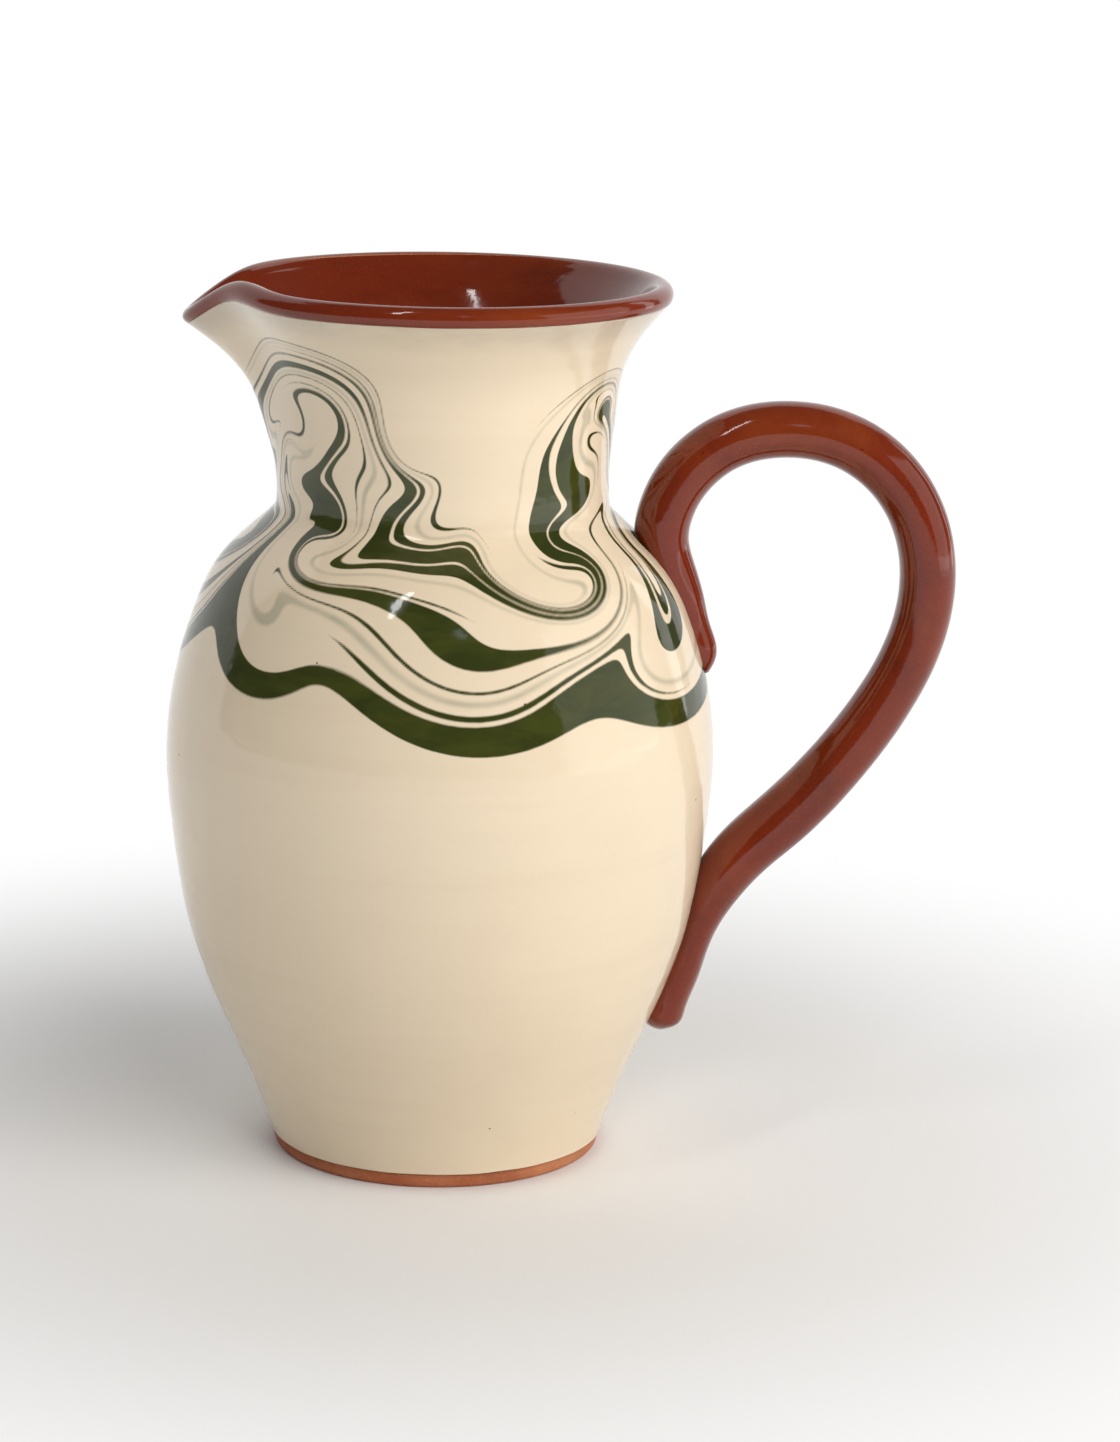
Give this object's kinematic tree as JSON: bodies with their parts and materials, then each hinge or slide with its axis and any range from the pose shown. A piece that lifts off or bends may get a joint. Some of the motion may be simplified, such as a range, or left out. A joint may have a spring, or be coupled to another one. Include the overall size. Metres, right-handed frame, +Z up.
{
  "type": "ceramic pitcher",
  "caption": "Hand-thrown earthenware pitcher with a pulled pouring spout, rolled lip and loop handle, in cream slip with green marbling.",
  "frame": {"origin": "centre of the flat foot, on the axis the pot was thrown about", "axes": "+Z up along the throwing axis, +X towards the handle, spout towards -X"},
  "size_m": [0.2135, 0.149, 0.2414],
  "materials": {
    "terracotta": "matte",
    "cream_slip": "gloss",
    "brown_glaze": "gloss"
  },
  "bodies": {
    "root": {"thrown_body": "terracotta", "slip_coat": "cream_slip", "lining_glaze": "brown_glaze", "handle": "terracotta", "handle_glaze": "brown_glaze", "upper_luting_slip": "terracotta", "lower_luting_slip": "terracotta"}
  },
  "joints": []
}
